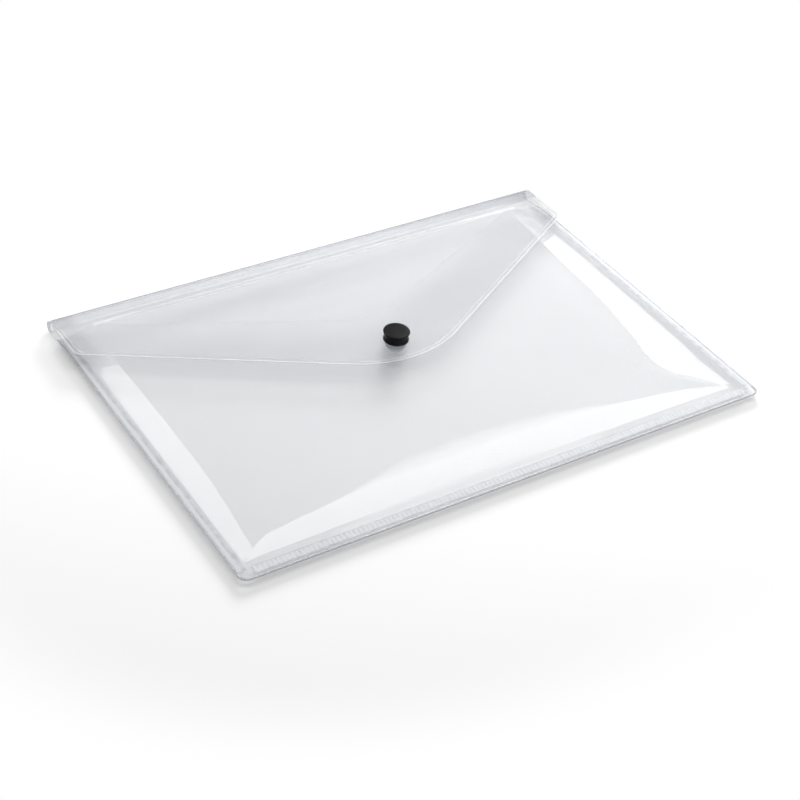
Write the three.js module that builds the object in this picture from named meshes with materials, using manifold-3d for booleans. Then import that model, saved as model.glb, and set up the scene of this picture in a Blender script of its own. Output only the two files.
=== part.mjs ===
// Clear film document wallet: a flat pocket welded from two sheets, with an
// envelope flap that closes over its mouth and is held by one press stud.
// It lies closed on its back sheet. +X runs along the fold, +Y points to the
// fold and +Z up. The origin is under the middle of the wallet, on the surface
// that it lies on. All sizes are millimetres.
import * as THREE from 'three';
import { mergeVertices } from 'three/addons/utils/BufferGeometryUtils.js';
import Module from 'manifold-3d';

// The wallet
const WALLET_WIDTH = 360; // along the fold
const WALLET_DEPTH = 250; // from the bottom weld to the back of the fold
const FILM = 0.5; // thickness of each sheet
const CORNER_RADIUS = 5; // bottom corners of both sheets
const CLEARANCE = 0.3; // gap left between neighbouring pieces

// The rounded fold between the back sheet and the flap
const FOLD_HEIGHT = 8; // outside height of the closed fold
const CREASE_ANGLE = Math.PI / 4; // the two creases, above and below the fold's middle

// The pocket's front sheet, welded along three sides and filled out between
const SIDE_WELD = 6.5; // width of the flat border on each side
const BOTTOM_WELD = 9;
const POCKET_HEIGHT = 5.8; // top of the front sheet, above the table
const LEFT_WALL = 12.5; // width of the sloping band inside each weld
const RIGHT_WALL = 26;
const BOTTOM_WALL = 25;
const MOUTH_SIDE_Y = 110; // where the mouth meets the side welds
const MOUTH_HALF_WIDTH = 153; // half the width of the mouth's notch
const MOUTH_NOTCH = 70; // how far the notch dips in the middle
const MOUTH_RADIUS = 40; // bottom of the notch

// The flap
const FLAP_SHOULDER = 41; // length of its straight sides, from the fold's back
const FLAP_REACH = 134; // from the fold's back to its tip
const FLAP_TIP_RADIUS = 75;
const FLAP_SHOULDER_RADIUS = 8;
const FLAP_HEIGHT_AT_STUD = 10.3; // top of the flap where the stud holds it

// The press stud
const STUD_FROM_TIP = 20.5; // from the flap's tip to the stud's middle
const POST_RADIUS = 1.5; // both rivets
const CAP_RADIUS = 8.35;
const CAP_RIM = 0.8; // thickness of the cap's edge
const CAP_DOME = 1.1; // rise of its top above that edge
const COLLAR_RADIUS = 8.05; // foot of the cap, on the flap
const COLLAR_HEIGHT = 1.5;
const WAIST_RADIUS = 7.6; // between foot and cap
const WAIST_HEIGHT = 3.6;
const SOCKET_RADIUS = 6.5;
const STUD_FLANGE_RADIUS = 6.5;
const STUD_FLANGE = 0.8; // its thickness
const KNOB_RADIUS = 3; // the part that snaps into the socket
const KNOB_HEIGHT = 1.3;
const KNOB_WALL = 0.6; // over the end of the rivet
const RIVET_RADIUS = 5.5; // head inside the pocket
const RIVET_HEAD = 1;

// Steps used to draw curves
const CORNER_STEPS = 4;
const ARC_STEPS = 5;
const ROUND_STEPS = 32;

const halfWidth = WALLET_WIDTH / 2;
const bottomY = -WALLET_DEPTH / 2;
const backY = WALLET_DEPTH / 2;
const foldRadius = FOLD_HEIGHT / 2;
const foldY = backY - foldRadius; // middle of the fold's half round
const creaseGap = CLEARANCE / 2 / foldRadius; // angle left free on each side of a crease
const studY = backY - FLAP_REACH + STUD_FROM_TIP;
const flapRise = (FLAP_HEIGHT_AT_STUD - FOLD_HEIGHT) / (foldY - studY);

const clearFilm = new THREE.MeshStandardMaterial({
  color: 0xdfe2e8, roughness: 0.12, metalness: 0, transparent: true, opacity: 0.35,
});
const blackPlastic = new THREE.MeshStandardMaterial({ color: 0x101113, roughness: 0.4, metalness: 0 });
const clearPlastic = new THREE.MeshStandardMaterial({
  color: 0x9aa3b0, roughness: 0.25, metalness: 0, transparent: true, opacity: 0.6,
});

const wasm = await Module();
wasm.setup();

// Closed film between two grids of points. Both functions turn a column and a
// row value into a point, one for each face of the film.
function filmSolid(columns, rows, outerFace, innerFace) {
  const points = [];
  for (const face of [outerFace, innerFace]) {
    for (const column of columns) {
      for (const row of rows) points.push(...face(column, row));
    }
  }
  const count = columns.length * rows.length;
  const at = (side, i, j) => side * count + i * rows.length + j;
  const triangles = [];
  const quad = (a, b, c, d) => triangles.push(a, b, c, a, c, d);
  const lastColumn = columns.length - 1;
  const lastRow = rows.length - 1;
  for (let i = 0; i < lastColumn; i++) {
    for (let j = 0; j < lastRow; j++) {
      quad(at(0, i, j), at(0, i + 1, j), at(0, i + 1, j + 1), at(0, i, j + 1));
      quad(at(1, i, j), at(1, i, j + 1), at(1, i + 1, j + 1), at(1, i + 1, j));
    }
    quad(at(0, i, 0), at(1, i, 0), at(1, i + 1, 0), at(0, i + 1, 0));
    quad(at(0, i, lastRow), at(0, i + 1, lastRow), at(1, i + 1, lastRow), at(1, i, lastRow));
  }
  for (let j = 0; j < lastRow; j++) {
    quad(at(0, 0, j), at(0, 0, j + 1), at(1, 0, j + 1), at(1, 0, j));
    quad(at(0, lastColumn, j), at(1, lastColumn, j), at(1, lastColumn, j + 1), at(0, lastColumn, j + 1));
  }
  return facingOut(points, triangles);
}

// Geometry of a closed surface, turned so that its faces point out.
function facingOut(points, triangles) {
  let volume = 0;
  const corner = (index) => new THREE.Vector3().fromArray(points, index * 3);
  for (let t = 0; t < triangles.length; t += 3) {
    const [a, b, c] = [0, 1, 2].map((k) => corner(triangles[t + k]));
    volume += a.dot(b.cross(c));
  }
  if (volume < 0) triangles.reverse();
  const geometry = new THREE.BufferGeometry();
  geometry.setAttribute('position', new THREE.Float32BufferAttribute(points, 3));
  geometry.setIndex(triangles);
  return geometry;
}

function toManifold(geometry) {
  const bare = geometry.clone();
  bare.deleteAttribute('normal');
  bare.deleteAttribute('uv');
  const merged = mergeVertices(bare);
  return new wasm.Manifold(new wasm.Mesh({
    numProp: 3,
    vertProperties: new Float32Array(merged.attributes.position.array),
    triVerts: new Uint32Array(merged.index.array),
  }));
}

function fromManifold(solid) {
  const { vertProperties, triVerts } = solid.getMesh();
  const geometry = new THREE.BufferGeometry();
  geometry.setAttribute('position', new THREE.BufferAttribute(vertProperties, 3));
  geometry.setIndex(new THREE.BufferAttribute(triVerts, 1));
  return geometry;
}

// A round hole for a rivet, straight down through a sheet at the press stud.
function punchedForRivet(geometry) {
  const punch = new THREE.CylinderGeometry(
    POST_RADIUS + CLEARANCE, POST_RADIUS + CLEARANCE, 2 * FLAP_HEIGHT_AT_STUD, ROUND_STEPS,
  );
  punch.rotateX(Math.PI / 2).translate(0, studY, FLAP_HEIGHT_AT_STUD / 2);
  return fromManifold(toManifold(geometry).subtract(toManifold(punch)));
}

// Positions across the wallet, close together where an edge turns a corner.
function columnsWithCorners(cornerRadius, innerColumns) {
  const cornerStart = halfWidth - cornerRadius;
  const columns = innerColumns.filter((x) => x < cornerStart);
  for (let step = 0; step <= CORNER_STEPS; step++) {
    const angle = (step / CORNER_STEPS) * Math.PI / 2;
    columns.push(cornerStart + cornerRadius * Math.sin(angle));
  }
  const mirrored = columns.filter((x) => x > 0).map((x) => -x).reverse();
  return [...mirrored, ...columns];
}

function evenly(from, to, steps) {
  return Array.from({ length: steps + 1 }, (_, step) => from + (to - from) * step / steps);
}

// Front edge of the two pocket sheets: straight, with rounded corners.
function bottomEdge(x) {
  const pastCorner = Math.max(0, Math.abs(x) - (halfWidth - CORNER_RADIUS));
  return bottomY + CORNER_RADIUS - Math.sqrt(Math.max(0, CORNER_RADIUS ** 2 - pastCorner ** 2));
}

// A point of the fold's half round, at an angle above the level through its middle.
function foldPoint(x, angle, radius) {
  return [x, foldY + radius * Math.cos(angle), foldRadius + radius * Math.sin(angle)];
}

// Row values from 0 to 1 run over a sheet's flat, and from 1 to 2 round its
// share of the fold.
const arcRows = evenly(1, 2, ARC_STEPS).slice(1);

function backPanel() {
  const face = (radius) => (x, row) => {
    if (row <= 1) return [x, THREE.MathUtils.lerp(bottomEdge(x), foldY, row), foldRadius - radius];
    const end = -CREASE_ANGLE - creaseGap;
    return foldPoint(x, THREE.MathUtils.lerp(-Math.PI / 2, end, row - 1), radius);
  };
  const columns = columnsWithCorners(CORNER_RADIUS, [0, halfWidth / 2]);
  return filmSolid(columns, [0, 1, ...arcRows], face(foldRadius), face(foldRadius - FILM));
}

function foldSpine() {
  const end = CREASE_ANGLE - creaseGap;
  const face = (radius) => (x, angle) => foldPoint(x, angle, radius);
  const angles = evenly(-end, end, 2 * ARC_STEPS);
  return filmSolid([-halfWidth, 0, halfWidth], angles, face(foldRadius), face(foldRadius - FILM));
}

// Front edge of the flap: two straight arms that meet in a rounded tip, and
// rounded shoulders where they reach the straight sides.
const armAngle = flapArmAngle();

function flapArmAngle() {
  const drop = FLAP_REACH - FLAP_SHOULDER;
  let angle = Math.atan2(drop, halfWidth);
  for (let pass = 0; pass < 20; pass++) {
    const cutByTip = FLAP_TIP_RADIUS * (1 / Math.cos(angle) - 1);
    angle = Math.atan2(drop + cutByTip, halfWidth);
  }
  return angle;
}

function flapEdge(x) {
  const fromMiddle = Math.abs(x);
  const tipY = backY - FLAP_REACH;
  const arm = tipY - FLAP_TIP_RADIUS * (1 / Math.cos(armAngle) - 1) + fromMiddle * Math.tan(armAngle);
  if (fromMiddle < FLAP_TIP_RADIUS * Math.sin(armAngle)) {
    return tipY + FLAP_TIP_RADIUS - Math.sqrt(FLAP_TIP_RADIUS ** 2 - fromMiddle ** 2);
  }
  const centreX = halfWidth - FLAP_SHOULDER_RADIUS;
  const pastCentre = fromMiddle - centreX;
  if (pastCentre > FLAP_SHOULDER_RADIUS * Math.sin(armAngle)) {
    const centreY = arm - pastCentre * Math.tan(armAngle) + FLAP_SHOULDER_RADIUS / Math.cos(armAngle);
    return centreY - Math.sqrt(Math.max(0, FLAP_SHOULDER_RADIUS ** 2 - pastCentre ** 2));
  }
  return arm;
}

function flap() {
  const face = (depth) => (x, row) => {
    if (row <= 1) {
      const y = THREE.MathUtils.lerp(flapEdge(x), foldY, row);
      return [x, y, FOLD_HEIGHT + flapRise * (foldY - y) - depth];
    }
    const end = CREASE_ANGLE + creaseGap;
    return foldPoint(x, THREE.MathUtils.lerp(Math.PI / 2, end, row - 1), foldRadius - depth);
  };
  const tipHalfWidth = FLAP_TIP_RADIUS * Math.sin(armAngle);
  const innerColumns = [...evenly(0, tipHalfWidth, 8), (tipHalfWidth + halfWidth) / 2];
  const columns = columnsWithCorners(FLAP_SHOULDER_RADIUS, innerColumns);
  return punchedForRivet(filmSolid(columns, [0, 0.5, 1, ...arcRows], face(0), face(FILM)));
}

// Upper edge of the front sheet: level at the side welds, with a wide rounded
// notch between them that leaves room to take the papers out.
function mouthEdge(x) {
  const slope = MOUTH_NOTCH / MOUTH_HALF_WIDTH;
  const cosine = 1 / Math.hypot(1, slope);
  const sine = slope * cosine;
  const fromMiddle = Math.abs(x);
  if (fromMiddle >= MOUTH_HALF_WIDTH) return MOUTH_SIDE_Y;
  const vertexY = MOUTH_SIDE_Y - MOUTH_NOTCH;
  if (fromMiddle >= MOUTH_RADIUS * sine) return vertexY + fromMiddle * slope;
  return vertexY + MOUTH_RADIUS / cosine - Math.sqrt(MOUTH_RADIUS ** 2 - fromMiddle ** 2);
}

// Height of the front sheet's top face. It lies flat on the welds and rises
// over a sloping band inside them, which narrows towards the bottom corners.
function frontHeight(x, y) {
  const weldTop = 2 * FILM + CLEARANCE;
  const fromBottom = Math.max(0, y - bottomY - BOTTOM_WELD);
  const narrowing = Math.min(1, fromBottom / (WALLET_DEPTH / 2)) ** 0.4;
  const bottomBand = BOTTOM_WALL * (1 - (x / (halfWidth + CORNER_RADIUS)) ** 2);
  const shares = [
    (x + halfWidth - SIDE_WELD) / (LEFT_WALL * narrowing + FILM),
    (halfWidth - SIDE_WELD - x) / (RIGHT_WALL * narrowing + FILM),
    fromBottom / bottomBand,
  ];
  const share = THREE.MathUtils.clamp(Math.min(...shares), 0, 1);
  return weldTop + (POCKET_HEIGHT - weldTop) * Math.sin(share * Math.PI / 2);
}

function frontPanel() {
  const face = (depth) => (x, row) => {
    const y = THREE.MathUtils.lerp(bottomEdge(x), mouthEdge(x), row);
    return [x, y, frontHeight(x, y) - depth];
  };
  const welds = halfWidth - SIDE_WELD;
  const innerColumns = [
    ...evenly(0, MOUTH_HALF_WIDTH, 16), ...evenly(MOUTH_HALF_WIDTH, welds, 6).slice(1),
  ];
  const columns = columnsWithCorners(CORNER_RADIUS, innerColumns);
  const weldRow = BOTTOM_WELD / WALLET_DEPTH;
  const wallRow = (BOTTOM_WELD + BOTTOM_WALL) / WALLET_DEPTH;
  const rows = [0, ...evenly(weldRow, wallRow * 1.4, 8), ...evenly(wallRow * 1.4, 1, 6).slice(1)];
  return punchedForRivet(filmSolid(columns, rows, face(0), face(FILM)));
}

// Round pieces of the press stud, each turned from a half profile given as
// pairs of radius and height.
function turned(profile) {
  const geometry = new THREE.LatheGeometry(profile.map(([r, z]) => new THREE.Vector2(r, z)), ROUND_STEPS);
  return geometry.rotateX(Math.PI / 2).translate(0, studY, 0);
}

const flapTop = FLAP_HEIGHT_AT_STUD + CLEARANCE;
const flapUnder = FLAP_HEIGHT_AT_STUD - FILM - CLEARANCE;
const frontTop = POCKET_HEIGHT + CLEARANCE;
const frontUnder = POCKET_HEIGHT - FILM - CLEARANCE;
const knobTop = frontTop + STUD_FLANGE + KNOB_HEIGHT;
const boreTop = knobTop + CLEARANCE;
const postHole = POST_RADIUS + CLEARANCE;

function snapCap() {
  const waistTop = flapTop + COLLAR_HEIGHT + WAIST_HEIGHT;
  const rimTop = waistTop + CAP_RIM;
  const dome = evenly(0, Math.PI / 2, ARC_STEPS).map(
    (angle) => [CAP_RADIUS * Math.cos(angle), rimTop + CAP_DOME * Math.sin(angle)],
  );
  dome[dome.length - 1][0] = 0;
  return turned([
    [0, boreTop + CLEARANCE],
    [POST_RADIUS, boreTop + CLEARANCE],
    [POST_RADIUS, flapTop],
    [COLLAR_RADIUS, flapTop],
    [COLLAR_RADIUS, flapTop + COLLAR_HEIGHT * 0.6],
    [WAIST_RADIUS, flapTop + COLLAR_HEIGHT],
    [WAIST_RADIUS, waistTop],
    [CAP_RADIUS, waistTop + CAP_RIM * 0.4],
    ...dome,
  ]);
}

function snapSocket() {
  const under = frontTop + STUD_FLANGE + CLEARANCE;
  const bore = KNOB_RADIUS + CLEARANCE;
  return turned([
    [bore, under],
    [SOCKET_RADIUS, under],
    [SOCKET_RADIUS, flapUnder],
    [postHole, flapUnder],
    [postHole, boreTop],
    [bore, boreTop],
    [bore, under],
  ]);
}

function snapStud() {
  return turned([
    [postHole, frontTop],
    [STUD_FLANGE_RADIUS, frontTop],
    [STUD_FLANGE_RADIUS, frontTop + STUD_FLANGE],
    [KNOB_RADIUS, frontTop + STUD_FLANGE],
    [KNOB_RADIUS, knobTop],
    [0, knobTop],
    [0, knobTop - KNOB_WALL],
    [postHole, knobTop - KNOB_WALL],
    [postHole, frontTop],
  ]);
}

function snapRivet() {
  return turned([
    [0, frontUnder - RIVET_HEAD],
    [RIVET_RADIUS, frontUnder - RIVET_HEAD],
    [RIVET_RADIUS, frontUnder],
    [POST_RADIUS, frontUnder],
    [POST_RADIUS, knobTop - KNOB_WALL - CLEARANCE],
    [0, knobTop - KNOB_WALL - CLEARANCE],
  ]);
}

const wallet = new THREE.Group();

function addPiece(name, geometry, material) {
  const piece = new THREE.Mesh(geometry, material);
  piece.name = name;
  wallet.add(piece);
}

addPiece('back_panel', backPanel(), clearFilm);
addPiece('front_panel', frontPanel(), clearFilm);
addPiece('fold_spine', foldSpine(), clearFilm);
addPiece('flap', flap(), clearFilm);
addPiece('snap_cap', snapCap(), blackPlastic);
addPiece('snap_socket', snapSocket(), clearPlastic);
addPiece('snap_stud', snapStud(), clearPlastic);
addPiece('snap_rivet', snapRivet(), clearPlastic);

export default wallet;
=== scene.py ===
"""Clear film document wallet with an envelope flap, closed by one black press stud.

The sheets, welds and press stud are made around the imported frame. Sizes are in
millimetres and turn to metres when a mesh is made. +X runs along the fold, +Y
points to the fold and the wallet lies on the table at Z = 0.
"""
from math import atan2, cos, hypot, pi, radians, sin, tan

import bmesh
import bpy
import numpy as np
from mathutils import Matrix, Vector


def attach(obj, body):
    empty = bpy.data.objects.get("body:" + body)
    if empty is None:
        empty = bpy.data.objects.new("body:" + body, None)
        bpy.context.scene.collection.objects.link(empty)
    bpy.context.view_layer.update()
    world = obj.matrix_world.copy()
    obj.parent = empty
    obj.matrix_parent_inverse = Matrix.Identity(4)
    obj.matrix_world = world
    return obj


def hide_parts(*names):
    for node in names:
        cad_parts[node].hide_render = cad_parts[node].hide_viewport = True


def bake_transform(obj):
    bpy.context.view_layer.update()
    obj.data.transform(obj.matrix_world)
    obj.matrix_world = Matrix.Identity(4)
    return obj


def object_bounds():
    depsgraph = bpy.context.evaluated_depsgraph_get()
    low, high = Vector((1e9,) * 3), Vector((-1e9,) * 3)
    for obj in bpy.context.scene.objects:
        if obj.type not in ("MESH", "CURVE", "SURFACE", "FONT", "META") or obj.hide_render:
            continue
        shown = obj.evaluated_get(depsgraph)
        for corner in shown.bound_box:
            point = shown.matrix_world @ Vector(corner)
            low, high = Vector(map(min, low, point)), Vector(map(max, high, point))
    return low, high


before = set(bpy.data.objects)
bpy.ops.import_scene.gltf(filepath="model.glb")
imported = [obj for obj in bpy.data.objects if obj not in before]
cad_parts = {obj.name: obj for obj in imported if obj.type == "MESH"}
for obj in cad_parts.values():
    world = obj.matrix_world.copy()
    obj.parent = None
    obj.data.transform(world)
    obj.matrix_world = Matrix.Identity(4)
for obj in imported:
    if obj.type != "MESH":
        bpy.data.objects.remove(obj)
cad_low, cad_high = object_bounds()


# Clear film: soft polypropylene sheet half a millimetre thick, polished on both sides.
# It lets most light through and is faintly milky. Where it is seen edge on it is
# painted dark grey, as painted shade for the darker room it shows there.
MM = 0.001
FILM = 0.5
FILM_COLOUR = (0.78, 0.80, 0.84, 1)
FILM_STREAK_COLOUR = (0.84, 0.86, 0.89, 1)
# Painted shade: the dark grey and its solidity where the film is seen edge on.
FILM_EDGE_ON_SHADE_COLOUR = (0.28, 0.29, 0.34, 1)
FILM_EDGE_ON_SHADE_SOLIDITY = 0.6
FILM_SOLIDITY = 0.125
FILM_DENSITY = 2.2
FILM_WAVINESS = 0.1
CLOUD_SCALE = 14.0
STREAK_SCALE = 30.0
STREAK_STRETCH = (0.25, 3.0, 1.0)
WAVE_SCALE = 26.0
WAVE_DEPTH = 4.0
# Painted shade: the flap and fold are painted darker and more solid at their left and
# right ends, between these two distances from the middle.
END_SHADE_COLOUR = (0.24, 0.25, 0.28, 1)
END_SHADE_FROM_X = 160.0
END_SHADE_TO_X = 171.0
# Painted shade: a darker grey for the film's cut edges and the fold's ends.
CUT_EDGE_SHADE_COLOUR = (0.42, 0.43, 0.47, 1)
SAW_SCALE = 900.0
SHARP_ANGLE = radians(35)


class Signal:
    """What a node gives out. Sums and products of signals add Math nodes."""

    def __init__(self, nodes, socket):
        self.nodes = nodes
        self.socket = socket

    def combine(self, operation, first, second):
        inputs = {0: first, 1: second}
        return self.nodes.add("ShaderNodeMath", {"operation": operation}, inputs)

    def __add__(self, other):
        return self.combine("ADD", self, other)

    def __radd__(self, other):
        return self.combine("ADD", other, self)

    def __sub__(self, other):
        return self.combine("SUBTRACT", self, other)

    def __rsub__(self, other):
        return self.combine("SUBTRACT", other, self)

    def __mul__(self, other):
        return self.combine("MULTIPLY", self, other)

    def __rmul__(self, other):
        return self.combine("MULTIPLY", other, self)


class Nodes:
    """The nodes of one material or of the world."""

    def __init__(self, tree):
        self.tree = tree

    def add(self, kind, settings=None, inputs=None, output=0):
        node = self.tree.nodes.new(kind)
        for name, value in (settings or {}).items():
            setattr(node, name, value)
        self.feed(node, inputs or {})
        return Signal(self, node.outputs[output])

    def feed(self, node, inputs):
        for name, value in inputs.items():
            if isinstance(value, Signal):
                self.tree.links.new(value.socket, node.inputs[name])
            else:
                node.inputs[name].default_value = value

    def place(self):
        return self.add("ShaderNodeTexCoord", output="Object")

    def noise(self, scale, detail=2.0, stretch=(1, 1, 1)):
        inputs = {"Vector": self.place(), "Scale": stretch}
        place = self.add("ShaderNodeMapping", {}, inputs)
        inputs = {"Vector": place, "Scale": scale, "Detail": detail}
        return self.add("ShaderNodeTexNoise", {}, inputs)

    def blend(self, share, first, second):
        inputs = {0: share, 6: first, 7: second}
        return self.add("ShaderNodeMix", {"data_type": "RGBA"}, inputs, output=2)

    def steps(self, value, low, high):
        """0 below low and 1 above high, with a smooth rise between them."""
        settings = {"interpolation_type": "SMOOTHSTEP"}
        inputs = {"Value": value, "From Min": low, "From Max": high}
        return self.add("ShaderNodeMapRange", settings, inputs)

    def bump(self, height, strength, distance):
        inputs = {"Height": height, "Strength": strength, "Distance": distance}
        return self.add("ShaderNodeBump", {}, inputs)


def finish(name):
    """A material with one Principled shader, as its nodes and that shader."""
    material = bpy.data.materials.new(name)
    material.use_nodes = True
    nodes = Nodes(material.node_tree)
    return material, nodes, material.node_tree.nodes["Principled BSDF"]


def clear_film(
    name, edge_on_shade_start, edge_on_shade_end, colour=FILM_COLOUR, density=FILM_DENSITY,
    solidity=FILM_SOLIDITY, end_shade=0.0, waviness=FILM_WAVINESS,
):
    """The face of the film, which turns into a painted dark grey between two shares of the
    way round to edge on: painted shade, for the darker room the film shows there. A
    greater density makes it mirror more, and the end shade paints its left and right
    ends darker and more solid, as painted shade."""
    material, nodes, shader = finish(name)
    # Painted shade at the film's two ends.
    if end_shade:
        across = nodes.add("ShaderNodeSeparateXYZ", {}, {0: nodes.place()}, output="X")
        end_shade_from = (END_SHADE_FROM_X * MM) ** 2
        end_shade_to = (END_SHADE_TO_X * MM) ** 2
        at_end = nodes.steps(across * across, end_shade_from, end_shade_to)
        colour = nodes.blend(at_end, colour, END_SHADE_COLOUR)
        solidity = solidity + at_end * end_shade
    clouds = nodes.noise(CLOUD_SCALE, detail=3.0)
    drawn = nodes.noise(STREAK_SCALE, stretch=STREAK_STRETCH)
    waves = nodes.noise(WAVE_SCALE, detail=1.0)
    nodes.feed(shader, {
        "Base Color": nodes.blend(drawn, colour, FILM_STREAK_COLOUR),
        "Roughness": 0.05 + clouds * 0.07,
        "IOR": density,
        "Coat Weight": 1.0,
        "Coat IOR": density,
        "Coat Roughness": 0.03,
        "Alpha": solidity,
        "Normal": nodes.bump(waves, waviness, WAVE_DEPTH * MM),
    })
    # Painted shade: a dark grey mixed in where the film is seen edge on.
    rim = nodes.add("ShaderNodeBsdfPrincipled", {}, {
        "Base Color": FILM_EDGE_ON_SHADE_COLOUR, "Roughness": 0.3, "IOR": 1.25,
        "Alpha": FILM_EDGE_ON_SHADE_SOLIDITY,
    })
    facing = nodes.add("ShaderNodeLayerWeight", {}, {"Blend": 0.5}, output="Facing")
    face = Signal(nodes, shader.outputs[0])
    is_edge_on_shade = nodes.steps(facing, edge_on_shade_start, edge_on_shade_end)
    mixed = nodes.add("ShaderNodeMixShader", {}, {0: is_edge_on_shade, 1: face, 2: rim})
    nodes.feed(nodes.tree.nodes["Material Output"], {"Surface": mixed})
    return material


# Cut edges painted darker, as painted shade for the dark line seen where one looks along
# the film.
def cut_edge_shade():
    material, nodes, shader = finish("cut_edge_shade")
    saw = nodes.noise(SAW_SCALE)
    nodes.feed(shader, {
        "Base Color": nodes.blend(saw, CUT_EDGE_SHADE_COLOUR, FILM_COLOUR),
        "Roughness": 0.15 + saw * 0.15,
        "IOR": 1.5,
        "Alpha": 0.5 + saw * 0.08,
    })
    return material


film_finish = clear_film("clear_film", edge_on_shade_start=0.62, edge_on_shade_end=0.97)
edge_shade_finish = cut_edge_shade()


def add_piece(name, points, faces, finishes, finish_of_face=None):
    """A mesh object from points in millimetres, with smooth faces and sharp corners."""
    mesh = bpy.data.meshes.new(name)
    mesh.from_pydata((np.asarray(points) * MM).tolist(), [], faces)
    for material in finishes:
        mesh.materials.append(material)
    if finish_of_face is not None:
        mesh.polygons.foreach_set("material_index", finish_of_face)
    body = bmesh.new()
    body.from_mesh(mesh)
    bmesh.ops.remove_doubles(body, verts=body.verts, dist=0.001 * MM)
    bmesh.ops.recalc_face_normals(body, faces=body.faces)
    body.to_mesh(mesh)
    body.free()
    mesh.shade_smooth()
    mesh.set_sharp_from_angle(angle=SHARP_ANGLE)
    piece = bpy.data.objects.new(name, mesh)
    bpy.context.scene.collection.objects.link(piece)
    return piece


def add_sheet(name, outer, inner, finishes, finish_of_cell=None, plain_last_row=False):
    """Closed film between two grids of points, each (columns, rows, 3). The first
    finish is for its faces and the second for its cut edges, though not for the
    last row's where that is left plain."""
    columns, rows = outer.shape[:2]
    index = np.arange(columns * rows).reshape(columns, rows)
    other = index + columns * rows
    top = np.stack([index[:-1, :-1], index[1:, :-1], index[1:, 1:], index[:-1, 1:]], -1)
    under = np.stack(
        [other[:-1, :-1], other[:-1, 1:], other[1:, 1:], other[1:, :-1]], -1,
    )
    rims = []
    for near, far in (
        (index[:, 0], other[:, 0]),
        (index[:, -1], other[:, -1]),
        (index[0], other[0]),
        (index[-1], other[-1]),
    ):
        rims.append(np.stack([near[:-1], near[1:], far[1:], far[:-1]], -1))
    faces = np.concatenate([top.reshape(-1, 4), under.reshape(-1, 4), *rims])
    cells = top.shape[0] * top.shape[1]
    kinds = np.ones(len(faces), dtype=np.int32)
    kinds[:2 * cells] = 0
    if finish_of_cell is not None:
        kinds[:cells] = finish_of_cell.reshape(-1)
    if plain_last_row:
        kinds[2 * cells + columns - 1:2 * cells + 2 * (columns - 1)] = 0
    points = np.concatenate([outer.reshape(-1, 3), inner.reshape(-1, 3)])
    return add_piece(name, points, faces.tolist(), finishes, kinds)


def smooth(value, low, high):
    share = np.clip((value - low) / (high - low), 0, 1)
    return share * share * (3 - 2 * share)


# Back sheet: the rear wall of the pocket, cut in one piece with the flap. It bulges
# down to the table between the welds, and turns up into the lower half of the round
# fold.
half_width = cad_high.x / MM
bottom_y = cad_low.y / MM
back_y = cad_high.y / MM
CORNER_RADIUS = 5.0
FOLD_HEIGHT = 8.0
FOLD_SEAM_ANGLE = 0.012
FOLD_END_WIDTH = 2.0
FOLD_STEPS = 12
# Painted shade: the flap and the fold are the same film as the pocket's sheets, painted
# darker.
FLAP_SHADED_COLOUR = (0.52, 0.54, 0.585, 1)
SEAM_LIFT = 2.0
LIFT_FADE = 25.0
SIDE_CURVE = 1.15
BOTTOM_CURVE = 1.35
BOTTOM_SOFTNESS = 0.4
SOFT_TO_X = 112.0
SOFT_FADE = 70.0
BOTTOM_FOOT_Y = -112.0
LEFT_CORNER_REACH = 30.0
RIGHT_CORNER_REACH = 50.0
CORNER_CURVE = 0.7
NARROWEST_WALL = 0.5
CORNER_CALM = (45.0, 95.0)
WAVE_FADE = 35.0
LEFT_FOOT_X = -172.6
RIGHT_FOOT_X = 168.5
FINE_BAND = 38.0
BACK_ROWS = (38, 49)
LEFT_TOP_EDGE = (
    (-112.5, -171.5), (-106.7, -166), (-91.7, -163.4), (-69.7, -160.8), (-47.8, -159.3),
    (-11, -158.5), (61, -159), (112, -159.5),
)
RIGHT_TOP_EDGE = (
    (-112.5, 165.5), (-102, 157), (-93.9, 149.2), (-86, 141.5), (-78.8, 137.3),
    (-70, 136.6), (-45.7, 141.3), (-2.1, 148.3), (41.2, 150.4), (112, 154),
)
BOTTOM_TOP_EDGE = (
    (-171, -112.3), (-157.4, -103.6), (-137.2, -99.1), (-107, -95.4), (-60.7, -89.7),
    (-4.5, -88), (49.7, -92.7), (103.8, -99.4), (143.9, -106), (166, -112),
)
fold_radius = FOLD_HEIGHT / 2
fold_y = back_y - fold_radius


def bottom_edge(x):
    """Front edge of both pocket sheets: straight, with rounded corners."""
    past_corner = np.maximum(0, np.abs(x) - (half_width - CORNER_RADIUS))
    drop = np.sqrt(np.maximum(0, CORNER_RADIUS**2 - past_corner**2))
    return bottom_y + CORNER_RADIUS - drop


def corner_columns(radius, steps=12):
    """Places across the last stretch before a side, closer together towards it."""
    angles = np.linspace(0, pi / 2, steps + 1)[1:]
    return half_width - radius + radius * np.sin(angles)


def mirrored(columns):
    """The same places on both sides of the middle."""
    columns = np.unique(np.round(columns, 6))
    return np.concatenate([-columns[columns > 0][::-1], columns])


def fold_arc(x, angles, radius):
    """Points round the fold, by angle above the level of its middle."""
    across = np.broadcast_to(x[:, None], (len(x), len(angles)))
    y = np.broadcast_to(fold_y + radius * np.cos(angles), across.shape)
    z = np.broadcast_to(fold_radius + radius * np.sin(angles), across.shape)
    return np.stack([across, y, z], -1)


def along(points, place):
    """A smooth line through a few points, read at a place."""
    at, value = np.array(points, dtype=float).T
    slope = np.gradient(value, at)
    index = np.clip(np.searchsorted(at, place) - 1, 0, len(at) - 2)
    span = at[index + 1] - at[index]
    t = np.clip((place - at[index]) / span, 0, 1)
    rise = value[index + 1] - value[index]
    leaving = slope[index] * span * t * (1 - t) ** 2
    arriving = slope[index + 1] * span * t * t * (1 - t)
    return value[index] + rise * t * t * (3 - 2 * t) + (leaving - arriving)


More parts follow.
